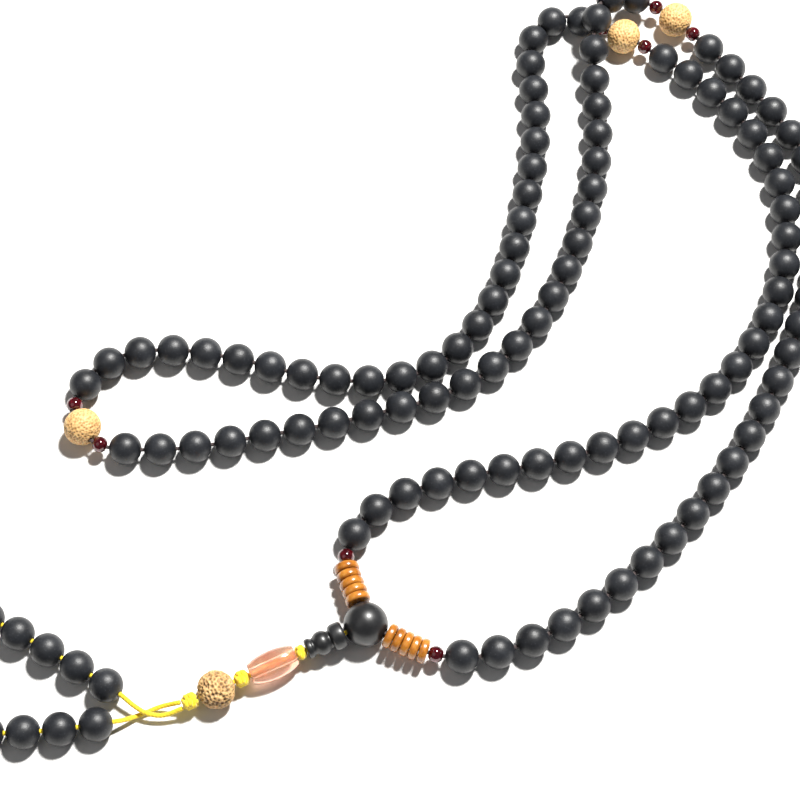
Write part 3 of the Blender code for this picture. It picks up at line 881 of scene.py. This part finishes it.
def strand_rings(path, radius, plies, pitch, sides, turn=0.0, depth=0.20):
    """A laid cord: round plies that turn about the path, closed at both ends."""
    tangents = np.gradient(path, axis=0)
    tangents /= np.linalg.norm(tangents, axis=1)[:, None]
    normal = np.cross(tangents[0], [0.0, 0.0, 1.0])
    if np.linalg.norm(normal) < 0.1:
        normal = np.cross(tangents[0], [0.0, 1.0, 0.0])
    points, values = [], []
    travelled = 0.0
    angles = 2 * math.pi * np.arange(sides) / sides
    for number, (here, along) in enumerate(zip(path, tangents)):
        normal = normal - along * normal.dot(along)
        normal /= np.linalg.norm(normal)
        other = np.cross(along, normal)
        if number:
            travelled += np.linalg.norm(here - path[number - 1])
        phase = plies * (angles - turn - 2 * math.pi * travelled / pitch)
        groove = (1 - np.abs(np.cos(phase / 2))) ** 1.6
        ring_r = radius * (1 - depth * groove)
        points.append(
            here + (np.cos(angles) * ring_r)[:, None] * normal
            + (np.sin(angles) * ring_r)[:, None] * other
        )
        # The groove depth is kept for each point; the cord material paints shade into the grooves from
        # it.
        values.append(groove)
    rings = len(points)
    faces = []
    for k in range(rings - 1):
        a, b = k * sides, (k + 1) * sides
        faces += [(a + j, a + (j + 1) % sides, b + (j + 1) % sides, b + j) for j in range(sides)]
    points.append((path[0])[None])
    points.append((path[-1])[None])
    start, end = rings * sides, rings * sides + 1
    last = (rings - 1) * sides
    faces += [(start, (j + 1) % sides, j) for j in range(sides)]
    faces += [(end, last + j, last + (j + 1) % sides) for j in range(sides)]
    # The two end points take 0.5, a half-strength painted groove shade.
    return np.concatenate(points), faces, np.concatenate([*values, [0.5, 0.5]])


def laid_cord(name, points, diameter, slot, body, nodes, pitch=CORD_PITCH, step=0.32 * MM):
    """A cord of three plies along the points, and the path that it follows."""
    path = even_path(points, step)
    made = Mesh()
    made.add(*strand_rings(path, diameter / 2, CORD_PLIES, pitch, CORD_SIDES))
    return made.piece(name, slot, body, nodes, "groove"), path


def knot_piece(name, place, length, width, body, nodes, rounds, cord_r, square=0.0, strands=3):
    """A plaited knot: two sets of strands that cross over and under each other round a core."""
    made = Mesh()
    half = length / 2
    steps = 150
    middle_r = width / 2 - cord_r
    for way in (1, -1):
        for k in range(strands):
            path = []
            for step in range(steps + 1):
                t = step / steps
                x = -half + cord_r * 0.9 + (length - 1.8 * cord_r) * t
                angle = way * 2 * math.pi * rounds * t + 2 * math.pi * k / strands
                weave = way * math.cos(strands * 2 * math.pi * rounds * t + math.pi * k)
                edge = min(1.0, math.sin(math.pi * (0.10 + 0.80 * t)) * 1.55)
                corner = (math.cos(angle) ** 4 + math.sin(angle) ** 4) ** -0.25
                r = (middle_r - cord_r * 0.45 + weave * cord_r * 0.45) * edge
                r *= 1 + square * (corner - 1)
                path.append(
                    place.centre + place.along * x
                    + (place.side * math.cos(angle) + place.up * math.sin(angle)) * r
                )
            even = even_path(path, 0.22 * MM, 1)
            made.add(*strand_rings(even, cord_r, CORD_PLIES, 2.2 * MM, 12, k, 0.16))
    core = rounded(
        [(-half * 0.82, 0.02 * MM), (-half * 0.80, middle_r * 0.55), (-half * 0.4, middle_r * 0.95),
         (half * 0.4, middle_r * 0.95), (half * 0.80, middle_r * 0.55), (half * 0.82, 0.02 * MM)], 1
    )
    points, faces = lathed(place, core, 24)
    # The core between the strands gets a high groove value, so it is painted in the dark shade colour
    # of the cord's grooves.
    made.add(points, faces, [0.8] * len(points))
    return made.piece(name, "yellow_cord", body, nodes, "groove")


# --- the string ---


def build_string():
    counts = {"disc": 0, "garnet": 0, "marker": 0}
    runs = []
    for quarter, sizes in QUARTER_RUNS.items():
        runs += [(f"{quarter}_beads_{k + 1}", size) for k, size in enumerate(sizes)]
    waiting = []
    for kind, place in zip(KINDS, PLACES):
        if "bead" in kind:
            waiting.append(place)
            name, size = runs[0]
            if len(waiting) == size:
                bead_run_piece(name, waiting, BODY_OF_NODE[name], MAIN_CORD_D / 2, name)
                runs.pop(0)
                waiting = []
            continue
        counts[kind] += 1
        number = counts[kind]
        if kind == "disc":
            disc_piece(f"disc_{number}", place, f"disc_{number}")
        elif kind == "garnet":
            garnet_piece(f"garnet_{number}", place, f"garnet_{number}")
        else:
            node = f"marker_seed_{number}"
            seed_piece(f"{node}_porous", node, place, "marker_seed", node, MARKER_D, MARKER_LENGTH,
                       MAIN_CORD_D / 2, MARKER_PITS, 40 + number)


def build_main_cord():
    """The cord, in one length for each body, so that it bends where the lobes swing."""
    # From and to which gap each length runs, counted from the guru bead, and what it rides on.
    cuts = [
        (0, 10, "guru_end"),
        (10, 30, "inner_right"),
        (30, 38, "crown"),
        (38, 58, "outer_left"),
        (58, 71, "loop_end"),
        (71, 88, "inner_left"),
        (88, 104, "crown"),
        (104, 120, "outer_right"),
        (120, 129, "guru_end"),
    ]
    for number, (first, last, body) in enumerate(cuts):
        points = GAP_POINTS[first : last + 1]
        if first == 0:
            before = GURU_CENTRE + (points[0] - GURU_CENTRE).normalized() * CORD_SETBACK
        else:
            before = points[0] - (points[0] - GAP_POINTS[first - 1]).normalized() * CORD_OVERLAP
        if last == len(GAP_POINTS) - 1:
            after = GURU_CENTRE + (points[-1] - GURU_CENTRE).normalized() * CORD_SETBACK
        else:
            onward = (GAP_POINTS[last + 1] - points[-1]).normalized()
            after = points[-1] + onward * CORD_OVERLAP
        laid_cord(f"main_cord_length_{number + 1}", [before, *points, after], MAIN_CORD_D,
                  "dark_cord", body, ["main_cord"], MAIN_CORD_PITCH, 0.4 * MM)


def build_pendant():
    """The pieces that hang from the guru bead, and their places."""
    lengths = [TOWER_LENGTH, BALL_KNOT_LENGTH, AGATE_LENGTH, NEAR_PLAIT_LENGTH, SEED_LENGTH,
               FAR_PLAIT_LENGTH]
    spans = [GURU_D / 2 + SMALL_GAP / 2, *[length + SMALL_GAP for length in lengths]]
    line = smooth_curve([Vector(point) * MM for point in PENDANT_ROUTE])
    points, _ = walk(extended(line), spans)
    places = [Place(a, b) for a, b in zip(points[1:], points[2:])]
    tower_piece(places[0])
    longer, wider = BALL_KNOT_GROWTH
    knot_piece("ball_knot_wound", places[1], BALL_KNOT_LENGTH + longer, BALL_KNOT_D + wider,
               "pendant", ["ball_knot"], 0.6, 0.60 * MM)
    agate_piece(places[2])
    knot_piece("near_plait_woven", places[3], NEAR_PLAIT_LENGTH, PLAIT_WIDTH, "pendant",
               ["near_plait"], 1.0, 0.58 * MM, 1.0)
    seed_piece("pendant_seed_porous", "pendant_seed", places[4], "pendant_seed",
               BODY_OF_NODE["pendant_seed"], SEED_D, SEED_LENGTH, PENDANT_CORD_D / 2,
               PENDANT_PITS, 7)
    knot_piece("far_plait_woven", places[5], FAR_PLAIT_LENGTH, PLAIT_WIDTH, "pendant",
               ["far_plait"], 1.0, 0.58 * MM, 1.0)
    start = GURU_CENTRE + (places[0].start - GURU_CENTRE).normalized() * CORD_SETBACK
    laid_cord("pendant_cord_laid", [start, *[p.start for p in places]], PENDANT_CORD_D,
              "yellow_cord", "pendant", ["pendant_cord"])
    return places


def build_strand(name, route, plait_place, spread):
    """One counter strand: its beads, its end knot and its free cord."""
    end = plait_place.end
    first = end + plait_place.along * SMALL_GAP / 2 + plait_place.side * spread
    past = [Vector((end.x + x * MM, end.y + y * MM, z * BEAD_D / 2)) for x, y, z in route]
    line = extended(smooth_curve([first, *past]))
    start = next(k for k in range(len(line)) if distance_along(line, k) >= STRAND_LEAD[name])
    spans = [BEAD_D + BEAD_GAP] * sum(COUNTER_RUNS)
    points, _ = walk(line[start:], [*spans, END_KNOT_LENGTH + SMALL_GAP])
    places = [Place(a, b) for a, b in zip(points, points[1:])]
    body = f"{name}_strand"
    at = 0
    for k, size in enumerate(COUNTER_RUNS):
        node = f"{name}_counters_{k + 1}"
        bead_run_piece(node, places[at : at + size], body, PENDANT_CORD_D / 2, node)
        at += size
    knot = f"{name}_end_knot"
    knot_piece(f"{knot}_tied", places[-1], END_KNOT_LENGTH, END_KNOT_D, body, [knot],
                             0.75, 0.62 * MM)
    last = places[-1].start + places[-1].along * 0.3 * MM
    made, path = laid_cord(
        f"{name}_strand_laid", [*line[: start + 1], *[p.start for p in places[1:-1]], last],
        PENDANT_CORD_D, "yellow_cord", body, [f"{name}_strand_cord"],
    )


# --- surroundings ---


def build_floor():
    n = Nodes("floor")
    n.colour(n.ramp(n.noise(18.0), [(0.3, (0.83, 0.83, 0.825)), (0.7, (0.87, 0.87, 0.865))]))
    n.set(Roughness=0.75)
    mesh = bpy.data.meshes.new("floor")
    corners = [(x * FLOOR_SIZE, y * FLOOR_SIZE, 0) for x, y in ((-1, -1), (1, -1), (1, 1), (-1, 1))]
    mesh.from_pydata(corners, [], [(0, 1, 2, 3)])
    mesh.materials.append(n.material)
    made = bpy.data.objects.new("floor", mesh)
    made.location.z = -FLOOR_DROP
    bpy.context.scene.collection.objects.link(made)


def area_light(name, place, target, size, power, colour):
    """A round soft light at a place, turned to the target."""
    light = bpy.data.lights.new(name, "AREA")
    light.shape = "DISK"
    light.size = size
    light.energy = power
    light.color = colour
    made = bpy.data.objects.new(name, light)
    made.location = place
    made.rotation_euler = (Vector(target) - Vector(place)).to_track_quat("-Z", "Y").to_euler()
    bpy.context.scene.collection.objects.link(made)


def build_light():
    """A high key light behind and to the right, a weak fill, and a faint even surround."""
    area_light("key", (0.36, 0.52, 1.20), (0.02, 0.08, 0), 0.20, 46.0, (1.0, 0.985, 0.955))
    area_light("fill", (-0.6, -0.3, 1.0), (0.02, 0.08, 0), 1.0, 1.4, (1.0, 0.96, 0.92))
    world = bpy.data.worlds.new("world")
    world.use_nodes = True
    background = world.node_tree.nodes["Background"]
    background.inputs["Color"].default_value = (0.93, 0.95, 1.0, 1.0)
    background.inputs["Strength"].default_value = 0.10
    bpy.context.scene.world = world
    bpy.context.scene.view_settings.view_transform = "Standard"


def build_camera():
    camera = bpy.data.cameras.new("camera")
    camera.lens = LENS
    camera.sensor_width = 36.0
    camera.clip_start = 0.01
    made = bpy.data.objects.new("camera", camera)
    tilt = Matrix.Rotation(math.radians(90 - CAMERA_LOOKS_DOWN), 4, "X")
    made.matrix_world = Matrix.Translation(CAMERA_PLACE) @ tilt
    bpy.context.scene.collection.objects.link(made)
    bpy.context.scene.camera = made


build_camera()
build_light()
build_floor()
PENDANT = build_pendant()
build_strand("upper", UPPER_STRAND_ROUTE, PENDANT[-1], STRAND_SPREAD)
build_strand("lower", LOWER_STRAND_ROUTE, PENDANT[-1], -STRAND_SPREAD)
build_string()
build_main_cord()
GURU_EXITS = (
    (PLACES[0].start, MAIN_CORD_D),
    (PLACES[-1].end, MAIN_CORD_D),
    (PENDANT[0].start, PENDANT_CORD_D),
)
guru_piece([((point - GURU_CENTRE).normalized(), cord_d / 2) for point, cord_d in GURU_EXITS])
